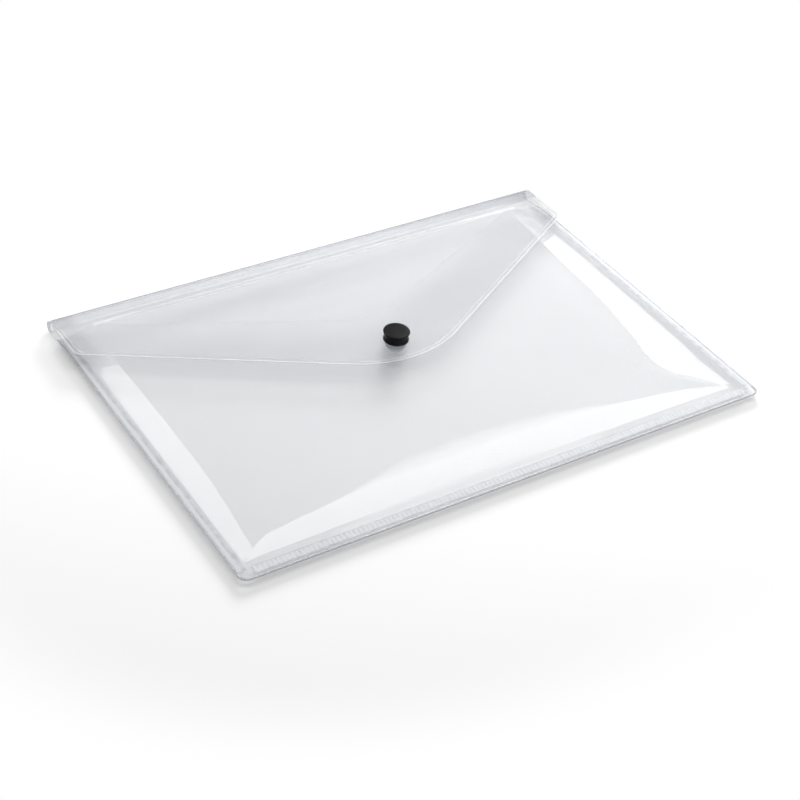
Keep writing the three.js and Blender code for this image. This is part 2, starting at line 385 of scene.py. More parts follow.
def wall_level(x, y):
    """0 on the welds and 1 on the level middle of the pocket. Between them the walls
    curve up from the welds and meet the middle in a crease, a soft one at the bottom.
    The film comes down towards the pocket's two corners."""
    left_wall = along(LEFT_TOP_EDGE, y) - LEFT_FOOT_X
    right_wall = RIGHT_FOOT_X - along(RIGHT_TOP_EDGE, y)
    bottom_wall = along(BOTTOM_TOP_EDGE, x) - BOTTOM_FOOT_Y
    left = (x - LEFT_FOOT_X) / np.maximum(NARROWEST_WALL, left_wall)
    right = (RIGHT_FOOT_X - x) / np.maximum(NARROWEST_WALL, right_wall)
    bottom = (y - BOTTOM_FOOT_Y) / np.maximum(NARROWEST_WALL, bottom_wall)
    softness = 0.01 + BOTTOM_SOFTNESS * smooth(SOFT_TO_X - np.abs(x), 0, SOFT_FADE)
    near_top = np.clip(bottom - 1 + softness, 0, 2 * softness)
    bottom = np.clip(bottom, 0, 1 + softness) - near_top**2 / (4 * softness)
    level = np.clip(bottom, 0, 1) ** BOTTOM_CURVE
    for side in (left, right):
        level = np.minimum(level, np.clip(side, 0, 1) ** SIDE_CURVE)
    corners = ((LEFT_FOOT_X, LEFT_CORNER_REACH), (RIGHT_FOOT_X, RIGHT_CORNER_REACH))
    for corner_x, reach in corners:
        away = np.hypot(x - corner_x, y - BOTTOM_FOOT_Y)
        level = level * np.clip(away / reach, 0, 1) ** CORNER_CURVE
    return level


def wave_room(x, y):
    """1 in the middle of the pocket, falling to 0 at the tops of its walls."""
    inside = np.minimum(x - along(LEFT_TOP_EDGE, y), along(RIGHT_TOP_EDGE, y) - x)
    inside = np.minimum(inside, y - along(BOTTOM_TOP_EDGE, x))
    away = np.hypot(x - RIGHT_FOOT_X, y - BOTTOM_FOOT_Y)
    return smooth(inside, 0, WAVE_FADE) * smooth(away, *CORNER_CALM)


def seam_lift(y):
    """Height of the welds above the table, which comes down to nothing at the fold."""
    return SEAM_LIFT * smooth(fold_y - y, 0, LIFT_FADE)


def back_face(columns, radius):
    """The back sheet up to the middle of the fold, with fine rows near its front."""
    edge = bottom_edge(columns)[:, None]
    band_top = bottom_y + FINE_BAND
    fine, coarse = BACK_ROWS
    band = edge + (band_top - edge) * np.linspace(0, 1, fine + 1)[None, :]
    rest = band_top + (fold_y - band_top) * np.linspace(0, 1, coarse + 1)[None, 1:]
    y = np.concatenate([band, np.broadcast_to(rest, (len(columns), coarse))], 1)
    x = np.broadcast_to(columns[:, None], y.shape)
    z = fold_radius - radius + seam_lift(y) * (1 - wall_level(x, y))
    flat = np.stack([x, y, z], -1)
    angles = np.linspace(-pi / 2, -FOLD_SEAM_ANGLE, FOLD_STEPS + 1)[1:]
    return np.concatenate([flat, fold_arc(columns, angles, radius)], 1)


MOUTH_HALF_WIDTH = 153.0
LEFT_WALL_COLUMNS = np.arange(-175, -154, 0.7)
MIDDLE_COLUMNS = np.arange(-150, 125, 3.0)
RIGHT_WALL_COLUMNS = np.arange(126, 175.2, 0.9)
side_columns = corner_columns(CORNER_RADIUS)
pocket_columns = np.unique(np.round(np.concatenate([
    -side_columns, LEFT_WALL_COLUMNS, [-MOUTH_HALF_WIDTH], MIDDLE_COLUMNS,
    RIGHT_WALL_COLUMNS, [MOUTH_HALF_WIDTH], side_columns,
]), 6))
# The fold: the flap's darker film, which turns to the edge-on shade sooner and is darker
# at its ends, all painted shade.
fold_finish = clear_film(
    "fold_film", edge_on_shade_start=0.25, edge_on_shade_end=0.70, colour=FLAP_SHADED_COLOUR,
    density=1.3, solidity=0.2, end_shade=0.08,
)
outer = back_face(pocket_columns, fold_radius)
middles = (outer[:-1, :-1] + outer[1:, 1:]) / 2
on_fold = middles[..., 1] > fold_y
# The fold's two ends are painted the cut edge's dark grey, as painted shade.
on_shaded_fold_end = on_fold & (np.abs(middles[..., 0]) > half_width - FOLD_END_WIDTH)
back_sheet = add_sheet(
    "back_sheet", outer, back_face(pocket_columns, fold_radius - FILM),
    [film_finish, edge_shade_finish, fold_finish],
    np.where(on_shaded_fold_end, 1, np.where(on_fold, 2, 0)),
)
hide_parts("back_panel", "fold_spine")
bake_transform(back_sheet)


# Flap: the same film, folded over the mouth and cut to a shallow point. A bead is
# pressed along its cut edge, and the fold carries a ribbed strip with a crease
# below it.
# Painted highlight: the near white of the bead, the flap's cut edge and its crease.
BEAD_HIGHLIGHT_COLOUR = (0.93, 0.94, 0.95, 1)
BEAD_CLOUD_SCALE = 45.0
EDGE_HIGHLIGHT_WIDTH = 1.2
FLAP_SHOULDER = 41.0
FLAP_REACH = 134.0
TIP_RADIUS = 75.0
SHOULDER_RADIUS = 8.0
FLAP_HEIGHT_AT_STUD = 10.3
STUD_FROM_TIP = 20.5
RIVET_HOLE = 1.8
PUNCH_SEGMENTS = 40
PUNCH_LENGTH = 40.0
BEAD_INSET = 3.1
BEAD_HEIGHT = 0.22
BEAD_WIDTH = 0.45
STRIP_FROM_Y = 112.0
STRIP_LEFT_X = -165.0
STRIP_RIGHT_X = 153.0
STRIP_HEIGHT = 0.28
STRIP_END_ANGLE = 1.2
STRIP_END_FADE = 0.2
RIB_PITCH = 1.5
CREASE_Y = 107.0
CREASE_WIDTH = 2.4
CREASE_HEIGHT = 0.9
CREASE_HALF_LENGTH = 158.0
CREASE_FADE_LEFT = (-168.0, -120.0)
CREASE_FADE_RIGHT = (90.0, 150.0)
SIDE_LINE_WIDTH = 0.5
STUD_CALM = (15.0, 60.0)
FOLD_CALM = (5.0, 30.0)
EDGE_CALM = 25.0
FLAP_RIM_WIDTH = 8.0
FLAP_COLUMN_STEP = 2.5
FLAP_FINE_Y = 100.0
FLAP_ROWS = (18, 30, 56)

stud_y = back_y - FLAP_REACH + STUD_FROM_TIP
tip_y = back_y - FLAP_REACH
flap_rise = (FLAP_HEIGHT_AT_STUD - FOLD_HEIGHT) / (fold_y - stud_y)


def flap_arm_angle():
    """Slope of the flap's two straight arms, which run into the round tip."""
    drop = FLAP_REACH - FLAP_SHOULDER
    angle = atan2(drop, half_width)
    for _ in range(20):
        angle = atan2(drop + TIP_RADIUS * (1 / cos(angle) - 1), half_width)
    return angle


arm_angle = flap_arm_angle()
arm_start_y = tip_y - TIP_RADIUS * (1 / cos(arm_angle) - 1)
shoulder_x = half_width - SHOULDER_RADIUS
arm_end_y = arm_start_y + shoulder_x * tan(arm_angle)
shoulder_y = arm_end_y + SHOULDER_RADIUS / cos(arm_angle)


def flap_edge(x):
    """Cut edge of the flap."""
    x = np.abs(x)
    arm = arm_start_y + x * tan(arm_angle)
    tip = tip_y + TIP_RADIUS - np.sqrt(np.maximum(0, TIP_RADIUS**2 - x**2))
    past = x - shoulder_x
    shoulder = shoulder_y - np.sqrt(np.maximum(0, SHOULDER_RADIUS**2 - past**2))
    edge = np.where(x < TIP_RADIUS * sin(arm_angle), tip, arm)
    return np.where(past > SHOULDER_RADIUS * sin(arm_angle), shoulder, edge)


def flap_inset(x, y):
    """How far a point of the flap is from its cut edge."""
    x = np.abs(x)
    arm = (y - arm_start_y - x * tan(arm_angle)) * cos(arm_angle)
    inset = np.minimum(arm, half_width - x)
    below_tip = tip_y + TIP_RADIUS - y
    in_tip = x < below_tip * tan(arm_angle)
    inset = np.where(in_tip, TIP_RADIUS - np.hypot(x, below_tip), inset)
    past = x - shoulder_x
    below = shoulder_y - y
    in_shoulder = (past > below * tan(arm_angle)) & (past > 0) & (below > 0)
    return np.where(in_shoulder, SHOULDER_RADIUS - np.hypot(past, below), inset)


def ridge(distance, width):
    """A round ridge 1 high, as wide as width on each side."""
    return np.cos(np.clip(distance / width, -1, 1) * pi / 2) ** 2


def flap_relief(x, y):
    """Bead, ribbed strip and crease, as heights above the plain flap."""
    bead = BEAD_HEIGHT * ridge(flap_inset(x, y) - BEAD_INSET, BEAD_WIDTH)
    on_strip = smooth(x, STRIP_LEFT_X, STRIP_LEFT_X + 1)
    on_strip = on_strip * smooth(-x, -STRIP_RIGHT_X, 1 - STRIP_RIGHT_X)
    on_strip = on_strip * smooth(y, STRIP_FROM_Y, STRIP_FROM_Y + 0.5)
    ribs = 0.75 + 0.25 * np.cos((y - STRIP_FROM_Y) * 2 * pi / RIB_PITCH)
    fade_from, fade_to = CREASE_FADE_RIGHT
    crease_share = smooth(x, *CREASE_FADE_LEFT) * smooth(-x, -fade_to, -fade_from)
    crease = CREASE_HEIGHT * crease_share * ridge(y - CREASE_Y, CREASE_WIDTH)
    return bead + STRIP_HEIGHT * on_strip * ribs + crease


def flap_sag(x, y):
    """Slow waves of the free film, none at the fold, the edge or the press stud."""
    calm = smooth(np.hypot(x, y - stud_y), *STUD_CALM) * smooth(fold_y - y, *FOLD_CALM)
    calm = calm * smooth(flap_inset(x, y), 0, EDGE_CALM)
    return calm * (0.35 * np.sin(x / 38 + 0.6) + 0.25 * np.sin(y / 21 + x / 90))


def flap_face(columns, depth):
    """The flap from its cut edge to the fold's middle, some depth under its top."""
    edge = flap_edge(columns)[:, None]
    at_rim, at_middle, at_fold = FLAP_ROWS
    rim = edge + np.linspace(0, FLAP_RIM_WIDTH, at_rim + 1)[None, :]
    inner = rim[:, -1:]
    middle = inner + (FLAP_FINE_Y - inner) * np.linspace(0, 1, at_middle + 1)[None, 1:]
    near_fold = np.linspace(FLAP_FINE_Y, fold_y, at_fold + 1)[1:]
    near_fold = np.broadcast_to(near_fold, (len(columns), at_fold))
    y = np.concatenate([rim, middle, near_fold], 1)
    x = np.broadcast_to(columns[:, None], y.shape)
    plain = FOLD_HEIGHT + flap_rise * (fold_y - y) - depth
    z = plain + flap_relief(x, y) + flap_sag(x, y)
    angles = np.linspace(pi / 2, FOLD_SEAM_ANGLE, FOLD_STEPS + 1)[1:]
    on_strip = (columns > STRIP_LEFT_X) & (columns < STRIP_RIGHT_X)
    fade = np.clip((angles - STRIP_END_ANGLE) / STRIP_END_FADE, 0, 1)
    arc = fold_arc(columns, angles, fold_radius - depth)
    arc[..., 2] = arc[..., 2] + np.where(on_strip, STRIP_HEIGHT, 0)[:, None] * fade
    return np.concatenate([np.stack([x, y, z], -1), arc], 1)


def punched(piece, radius):
    """Cuts the round hole for a rivet through a sheet at the press stud."""
    body = bmesh.new()
    bmesh.ops.create_cone(
        body, cap_ends=True, segments=PUNCH_SEGMENTS, radius1=radius * MM,
        radius2=radius * MM, depth=PUNCH_LENGTH * MM,
        matrix=Matrix.Translation((0, stud_y * MM, 0)),
    )
    mesh = bpy.data.meshes.new("punch")
    body.to_mesh(mesh)
    body.free()
    punch = bpy.data.objects.new("punch", mesh)
    bpy.context.scene.collection.objects.link(punch)
    cut = piece.modifiers.new("punch", "BOOLEAN")
    cut.operation = "DIFFERENCE"
    cut.object = punch
    evaluated = piece.evaluated_get(bpy.context.evaluated_depsgraph_get())
    whole = piece.data
    piece.data = bpy.data.meshes.new_from_object(evaluated)
    piece.modifiers.clear()
    bpy.data.objects.remove(punch)
    bpy.data.meshes.remove(mesh)
    bpy.data.meshes.remove(whole)


def bead_painted_highlight():
    """Pressed film, painted near white: a painted highlight along the whole edge, where
    its round back gathers light.
    """
    material, nodes, shader = finish("bead_painted_highlight")
    nodes.feed(shader, {
        "Base Color": BEAD_HIGHLIGHT_COLOUR,
        "Roughness": 0.25,
        "IOR": 1.5,
        "Alpha": 0.2 + nodes.noise(BEAD_CLOUD_SCALE) * 0.4,
    })
    return material


bead_highlight_finish = bead_painted_highlight()
# The flap: the film painted darker, with darker ends, as painted shade.
flap_finish = clear_film(
    "flap_film", edge_on_shade_start=0.62, edge_on_shade_end=0.97, colour=FLAP_SHADED_COLOUR,
    density=1.6, solidity=0.16, end_shade=0.16,
)
columns = mirrored(np.concatenate([
    np.arange(0, shoulder_x, FLAP_COLUMN_STEP), corner_columns(SHOULDER_RADIUS, 20),
]))
outer = flap_face(columns, 0)
middles = (outer[:-1, :-1] + outer[1:, 1:]) / 2
inset = flap_inset(middles[..., 0], middles[..., 1])
# The crease, the bead and a narrow band along the cut edge are painted near white, as
# painted highlight.
on_crease = np.abs(middles[..., 1] - CREASE_Y) < CREASE_WIDTH / 2
on_crease = on_crease & (np.abs(middles[..., 0]) < CREASE_HALF_LENGTH)
on_painted_highlight = (np.abs(inset - BEAD_INSET) < BEAD_WIDTH) | on_crease
on_edge_highlight = inset < EDGE_HIGHLIGHT_WIDTH
on_fold = middles[..., 1] > STRIP_FROM_Y
# The fold's ends and a thin line down each side are painted dark, as painted shade.
from_side = half_width - np.abs(middles[..., 0])
on_shaded_fold_end = (middles[..., 1] > fold_y) & (from_side < FOLD_END_WIDTH)
on_side = on_shaded_fold_end | (from_side < SIDE_LINE_WIDTH)
flap_sheet = add_sheet(
    "flap_sheet", outer, flap_face(columns, FILM),
    [flap_finish, bead_highlight_finish, fold_finish, edge_shade_finish],
    np.where(on_side, 3, np.where(on_fold, 2, np.where(on_painted_highlight | on_edge_highlight, 1, 0))),
)
punched(flap_sheet, RIVET_HOLE)
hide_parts("flap")
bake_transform(flap_sheet)


# Front sheet: film welded to the back sheet along three sides. Stretched over the
# thickness of papers, it rises in flat sloping walls to a level top, and its upper
# edge is a wide rounded notch.
POCKET_HEIGHT = 5.8
MOUTH_SIDE_Y = 110.0
MOUTH_NOTCH = 70.0
MOUTH_RADIUS = 40.0
FRONT_ROWS = (48, 55)
WELD_GAP = 0.3
weld_top = 2 * FILM + WELD_GAP


def mouth_edge(x):
    """Upper edge of the front sheet."""
    slope = MOUTH_NOTCH / MOUTH_HALF_WIDTH
    cosine = 1 / hypot(1, slope)
    x = np.abs(x)
    vertex_y = MOUTH_SIDE_Y - MOUTH_NOTCH
    drop = np.sqrt(np.maximum(0, MOUTH_RADIUS**2 - x**2))
    arc = vertex_y + MOUTH_RADIUS / cosine - drop
    arm = np.where(x < MOUTH_RADIUS * slope * cosine, arc, vertex_y + x * slope)
    return np.where(x >= MOUTH_HALF_WIDTH, MOUTH_SIDE_Y, arm)


def front_height(x, y):
    """Height of the front sheet's upper face above the table."""
    level = wall_level(x, y)
    foot = seam_lift(y) + weld_top
    calm = smooth(np.hypot(x, y - stud_y), *STUD_CALM) * wave_room(x, y)
    waves = 0.16 * np.sin(x / 33 + y / 60) + 0.12 * np.sin(y / 24 - x / 80 + 1.0)
    return foot + (POCKET_HEIGHT - foot) * level + calm * waves


def front_face(columns, depth):
    """The front sheet from its front edge to its mouth, some depth under its top."""
    edge = bottom_edge(columns)[:, None]
    band_top = bottom_y + FINE_BAND
    fine, coarse = FRONT_ROWS
    band = edge + (band_top - edge) * np.linspace(0, 1, fine + 1)[None, :]
    mouth = mouth_edge(columns)[:, None]
    rest = band_top + (mouth - band_top) * np.linspace(0, 1, coarse + 1)[None, 1:]
    y = np.concatenate([band, rest], 1)
    x = np.broadcast_to(columns[:, None], y.shape)
    return np.stack([x, y, front_height(x, y) - depth], -1)


front_sheet = add_sheet(
    "front_sheet", front_face(pocket_columns, 0), front_face(pocket_columns, FILM),
    [film_finish, edge_shade_finish], plain_last_row=True,
)
punched(front_sheet, RIVET_HOLE)
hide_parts("front_panel")
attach(front_sheet, "pocket")


# Welds: both sheets are pressed together by a hot bar. It leaves a ladder of small pads
# along the bottom and a fine serration along the sides, and where the film is trimmed
# the melted edge draws up into a thick rounded bead.
RUNG_COLOUR = (0.22, 0.23, 0.27, 1)
PAD_COLOUR = (0.88, 0.89, 0.91, 1)
SERRATION_COLOUR = (0.50, 0.52, 0.56, 1)
# Painted shade: the trim's dark grey stands for the dark line its thick clear edge shows.
TRIM_SHADE_COLOUR = (0.36, 0.37, 0.42, 1)
WELD_GRAIN_SCALE = 240.0
PAD_SOLIDITY = 0.5
RUNG_SOLIDITY = 0.78
SERRATION_SOLIDITY = 0.42
TRIM_SOLIDITY = 0.45
CELLS_PER_PITCH = 8
CELLS_ACROSS = 10
LADDER_PITCH = 2.8
LADDER_FROM_Y = -122.4
LADDER_TO_Y = -116.9
LADDER_HALF_LENGTH = 171.0
LADDER_RUNG_SHARE = 0.36
PAD_HEIGHT = 0.12
PAD_BASE = 0.03
PAD_UNDERSIDE = 0.005
SERRATION_PITCH = 1.3
SERRATION_RUNG_SHARE = 0.5
SERRATION_FROM_Y = -118.0
SERRATION_TO_Y = 109.0
SERRATION_FROM_X = 173.8
SERRATION_TO_X = 176.6
SERRATION_HEIGHT = 0.06
FLAT_BAND_TO_X = 178.8
TRIM_WIDTH = 1.3
TRIM_HEIGHT = 1.5
TRIM_MIDDLE = 0.8
TRIM_SIDE_SHARE = 0.7
TRIM_ROUNDNESS = 0.7
TRIM_FACES = 12


def pressed_weld(name, colour, solidity):
    material, nodes, shader = finish(name)
    grain = nodes.noise(WELD_GRAIN_SCALE)
    nodes.feed(shader, {
        "Base Color": nodes.blend(grain, colour, FILM_STREAK_COLOUR),
        "Roughness": 0.14 + grain * 0.16,
        "IOR": 1.6,
        "Coat Weight": 0.6,
        "Coat IOR": 1.6,
        "Coat Roughness": 0.08,
        "Alpha": solidity,
    })
    return material


pad_finish = pressed_weld("weld_pad", PAD_COLOUR, PAD_SOLIDITY)
rung_finish = pressed_weld("weld_rung", RUNG_COLOUR, RUNG_SOLIDITY)
serration_finish = pressed_weld("weld_serration", SERRATION_COLOUR, SERRATION_SOLIDITY)
# The melted trim is painted dark grey, as painted shade.
trim_shade_finish = clear_film(
    "melted_trim_shade", edge_on_shade_start=0.55, edge_on_shade_end=0.95, colour=TRIM_SHADE_COLOUR,
    solidity=TRIM_SOLIDITY, waviness=0.0,
)


def weld_relief(run_from, run_to, side_from, side_to, pitch, height, rung_share):
    """Pads in relief with rungs between them and round them: places along the weld,
    places across it, the height at each and which cells belong to the rungs."""
    step = pitch / CELLS_PER_PITCH
    count = int(round((run_to - run_from) / step))
    run = run_from + np.arange(count + 1) * step
    side = np.linspace(side_from, side_to, CELLS_ACROSS + 1)
    phase = (run / pitch) % 1
    in_pad = np.clip((phase - rung_share) / (1 - rung_share), 0, 1)
    fall = np.sin(np.linspace(0, 1, CELLS_ACROSS + 1) * pi) ** 0.4
    relief = PAD_BASE + height * np.sin(in_pad * pi)[:, None] ** 0.5 * fall[None, :]
    in_rung = (phase[:-1] + 0.5 / CELLS_PER_PITCH) % 1 < rung_share
    is_rung = np.repeat(in_rung[:, None], CELLS_ACROSS, axis=1)
    is_rung[:, 0] = True
    is_rung[:, -1] = True
    return run, side, relief, is_rung.astype(np.int32)


run, side, relief, kinds = weld_relief(
    -LADDER_HALF_LENGTH, LADDER_HALF_LENGTH, LADDER_FROM_Y, LADDER_TO_Y,
    LADDER_PITCH, PAD_HEIGHT, LADDER_RUNG_SHARE,
)
x, y = np.meshgrid(run, side, indexing="ij")
bottom_weld = add_sheet(
    "bottom_weld",
    np.stack([x, y, weld_top + seam_lift(y) + relief], -1),
    np.stack([x, y, weld_top + seam_lift(y) + PAD_UNDERSIDE], -1),
    [pad_finish, rung_finish], kinds,
)
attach(bottom_weld, "pocket")

for side_name, sign in (("left", -1), ("right", 1)):
    run, side, relief, kinds = weld_relief(
        SERRATION_FROM_Y, SERRATION_TO_Y, SERRATION_FROM_X, SERRATION_TO_X,
        SERRATION_PITCH, SERRATION_HEIGHT, SERRATION_RUNG_SHARE,
    )
    side = np.append(side, FLAT_BAND_TO_X)
    relief = np.append(relief, relief[:, -1:], 1)
    flat_band = np.zeros((len(kinds), 1), dtype=int)
    kinds = np.append(np.where(kinds == 0, 2, kinds), flat_band, 1)
    y, x = np.meshgrid(run, side * sign, indexing="ij")
    side_weld = add_sheet(
        f"side_weld_{side_name}",
        np.stack([x, y, weld_top + seam_lift(y) + relief], -1),
        np.stack([x, y, weld_top + seam_lift(y) + PAD_UNDERSIDE], -1),
        [pad_finish, rung_finish, serration_finish], kinds,
    )
    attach(side_weld, "pocket")


def trim_path():
    """The pocket's trimmed outline, from one end of the mouth round to the other."""
    inset = TRIM_WIDTH / 2
    right = half_width - inset
    low = bottom_y + inset
    radius = CORNER_RADIUS - inset
    turn = np.linspace(0, pi / 2, 9)
    left_corner = [
        (-right + radius * (1 - cos(a)), low + radius * (1 - sin(a))) for a in turn
    ]
    right_corner = [(-px, py) for px, py in reversed(left_corner)]
    sides = np.linspace(MOUTH_SIDE_Y, low + radius, 40)
    left_side = [(-right, py) for py in sides[:-1]]
    right_side = [(right, py) for py in sides[:-1][::-1]]
    across = np.linspace(-right + radius, right - radius, 60)[1:-1]
    bottom = [(px, low) for px in across]
    return np.array(left_side + left_corner + bottom + right_corner + right_side)


def fuller(wave):
    """The same wave with rounder shoulders, so that the bead's section is squarer."""
    return np.sign(wave) * np.abs(wave) ** TRIM_ROUNDNESS


path = trim_path()
ahead = np.gradient(path, axis=0)
ahead = ahead / np.linalg.norm(ahead, axis=1)[:, None]
outward = np.stack([ahead[:, 1], -ahead[:, 0]], 1)
ring = np.linspace(0, 2 * pi, TRIM_FACES + 1)[:-1]
section_out = fuller(np.cos(ring)) * TRIM_WIDTH / 2
section_up = fuller(np.sin(ring)) * TRIM_HEIGHT / 2
past_corner = smooth(path[:, 1] - bottom_y, 0.5 * CORNER_RADIUS, 3 * CORNER_RADIUS)
share = 1 - (1 - TRIM_SIDE_SHARE) * past_corner
push = section_out[None, :] * share[:, None]
flat = path[:, None, :] + outward[:, None, :] * push[..., None]
middle = seam_lift(path[:, 1]) + TRIM_MIDDLE
upward = middle[:, None] + section_up[None, :] * share[:, None]
points = np.concatenate([flat, upward[..., None]], 2)
count, sides = points.shape[:2]
faces = []
for start in range(0, (count - 1) * sides, sides):
    for j in range(sides):
        k = (j + 1) % sides
        faces.append((start + j, start + k, start + sides + k, start + sides + j))
faces.append(tuple(range(sides)))
faces.append(tuple(range((count - 1) * sides, count * sides)))
weld_trim = add_piece("weld_trim", points.reshape(-1, 3), faces, [trim_shade_finish])
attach(weld_trim, "pocket")


# Press stud cap: black moulded plastic in one piece, a domed head on a narrow waist
# over a broad foot. Its post goes through the flap and is closed under it.
CAP_RADIUS = 8.35
FOOT_RADIUS = 8.05
WAIST_RADIUS = 7.6
SEAT_GAP = 0.3
BLACK = (0.008, 0.008, 0.009, 1)
BLACK_WORN = (0.018, 0.018, 0.020, 1)
GRAIN_SCALE = 1400.0
GRAIN_DEPTH = 0.2
PATCH_SCALE = 160.0

flap_top = FLAP_HEIGHT_AT_STUD + SEAT_GAP
flap_under = FLAP_HEIGHT_AT_STUD - FILM - SEAT_GAP
front_top = POCKET_HEIGHT + SEAT_GAP
front_under = POCKET_HEIGHT - FILM - SEAT_GAP


def satin_black():
    material, nodes, shader = finish("satin_black")
    grain = nodes.noise(GRAIN_SCALE, detail=3.0)
    patches = nodes.noise(PATCH_SCALE)
    nodes.feed(shader, {
        "Base Color": nodes.blend(patches, BLACK, BLACK_WORN),
        "Roughness": 0.26 + patches * 0.12,
        "IOR": 1.35,
        "Specular IOR Level": 0.16,
        "Normal": nodes.bump(grain, 0.12, GRAIN_DEPTH * MM),
    })
    return material


def turned(name, profile, finishes, segments=72, ribs=None):
    """A round piece from pairs of radius and height, on the press stud's axis. ribs,
    where given, is how much each point of the profile moves out at an angle."""
    profile = np.array(profile, dtype=float)
    angles = np.arange(segments) * 2 * pi / segments
    points = []
    faces = []
    rings = []
    for index, (radius, height) in enumerate(profile):
        if radius < 1e-6:
            rings.append([len(points)])
            points.append((0, stud_y, height))
            continue
        rings.append(range(len(points), len(points) + segments))
        for angle in angles:
            out = radius + (ribs(index, angle) if ribs else 0)
            points.append((out * cos(angle), stud_y + out * sin(angle), height))
    for lower, upper in zip(rings, rings[1:]):
        for j in range(segments):
            k = (j + 1) % segments
            if len(lower) == 1 and len(upper) > 1:
                faces.append((lower[0], upper[j], upper[k]))
            elif len(upper) == 1 and len(lower) > 1:
                faces.append((lower[j], lower[k], upper[0]))
            elif len(lower) > 1:
                faces.append((lower[j], lower[k], upper[k], upper[j]))
    return add_piece(name, points, faces, finishes)


black_finish = satin_black()
COLLAR_HEIGHT = 1.5
WAIST_HEIGHT = 3.6
CAP_RIM = 0.8
CAP_DOME = 1.1
POST_RADIUS = 1.5
STUD_FLANGE = 0.8
KNOB_HEIGHT = 1.3
waist_low = flap_top + COLLAR_HEIGHT
waist_top = waist_low + WAIST_HEIGHT
rim_top = waist_top + CAP_RIM
knob_top = front_top + STUD_FLANGE + KNOB_HEIGHT
bore_top = knob_top + SEAT_GAP
dome = [
    (CAP_RADIUS * cos(a), rim_top + CAP_DOME * sin(a) ** 0.9)
    for a in np.linspace(0.08, pi / 2, 14)[:-1]
]
snap_cap = turned("press_stud_cap", [
    (0, bore_top + SEAT_GAP),
    (POST_RADIUS, bore_top + SEAT_GAP),
    (POST_RADIUS, flap_top),
    (FOOT_RADIUS - 0.25, flap_top),
    (FOOT_RADIUS, flap_top + 0.2),
    (FOOT_RADIUS, flap_top + 0.75),
    (FOOT_RADIUS - 0.12, flap_top + 1.15),
    (WAIST_RADIUS + 0.1, waist_low - 0.1),
    (WAIST_RADIUS, waist_low + 0.2),
    (WAIST_RADIUS - 0.25, waist_low + 1.4),
    (WAIST_RADIUS - 0.1, waist_top - 0.3),
    (WAIST_RADIUS + 0.2, waist_top),
    (CAP_RADIUS - 0.35, waist_top + 0.12),
    (CAP_RADIUS - 0.1, waist_top + 0.25),
    (CAP_RADIUS, waist_top + 0.5),
    (CAP_RADIUS, rim_top),
    *dome,
    (0, rim_top + CAP_DOME),
], [black_finish])
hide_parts("snap_cap")
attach(snap_cap, "flap")


# Press stud's lower halves: clear mouldings in a smoky grey, which is partly painted
# shade for the cap's shadow and its dark image in the film round its foot. The socket
# sits under the flap and has thin ribs round it, the stud sits on the front sheet, and a
# flat-headed rivet inside the pocket holds the stud.
SMOKE_AND_SHADE = (0.50, 0.55, 0.60, 1)
SMOKE_AND_SHADE_PALE = (0.64, 0.70, 0.74, 1)
SMOKE_SOLIDITY = 0.22
FLOW_SCALE = 260.0
FLOW_DEPTH = 0.3
SOCKET_RADIUS = 6.5
KNOB_RADIUS = 3.0
RIVET_RADIUS = 5.5


# Smoky grey: partly the plastic's own tint and partly painted shade under the cap.
def smoky_plastic_and_shade():
    material, nodes, shader = finish("smoky_plastic_and_shade")
    flow = nodes.noise(FLOW_SCALE)
    nodes.feed(shader, {
        "Base Color": nodes.blend(flow, SMOKE_AND_SHADE, SMOKE_AND_SHADE_PALE),
        "Roughness": 0.16 + flow * 0.12,
        "IOR": 1.5,
        "Alpha": SMOKE_SOLIDITY,
        "Normal": nodes.bump(flow, 0.1, FLOW_DEPTH * MM),
    })
    return material


smoky_and_shade_finish = smoky_plastic_and_shade()
socket_low = front_top + STUD_FLANGE + SEAT_GAP
bore = KNOB_RADIUS + SEAT_GAP
hole = POST_RADIUS + SEAT_GAP
SOCKET_RIBS = 24
RIB_DEPTH = 0.3
socket_profile = [
    (bore, socket_low),
    (SOCKET_RADIUS - 0.35, socket_low),
    (SOCKET_RADIUS, socket_low + 0.3),
    (SOCKET_RADIUS, flap_under - 0.35),
    (SOCKET_RADIUS - 0.3, flap_under),
    (hole, flap_under),
    (hole, bore_top),
    (bore, bore_top),
    (bore, socket_low),
]


def socket_ribs(index, angle):
    """Grooves between the ribs, on the two points of the profile that are its side."""
    return -RIB_DEPTH * (cos(angle * SOCKET_RIBS) > 0) if index in (2, 3) else 0.0


snap_socket = turned(
    "press_stud_socket", socket_profile, [smoky_and_shade_finish], SOCKET_RIBS * 4, socket_ribs,
)
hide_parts("snap_socket")
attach(snap_socket, "flap")

snap_stud = turned("press_stud_stud", [
    (hole, front_top),
    (SOCKET_RADIUS - 0.2, front_top),
    (SOCKET_RADIUS, front_top + 0.2),
    (SOCKET_RADIUS, front_top + STUD_FLANGE - 0.2),
    (SOCKET_RADIUS - 0.2, front_top + STUD_FLANGE),
    (KNOB_RADIUS - 0.3, front_top + STUD_FLANGE),
    (KNOB_RADIUS - 0.3, knob_top - 0.8),
    (KNOB_RADIUS, knob_top - 0.45),
    (KNOB_RADIUS, knob_top - 0.25),
    (KNOB_RADIUS - 0.3, knob_top),
    (0, knob_top),
    (0, knob_top - 0.6),
    (hole, knob_top - 0.6),
    (hole, front_top),
], [smoky_and_shade_finish])
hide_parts("snap_stud")
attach(snap_stud, "pocket")

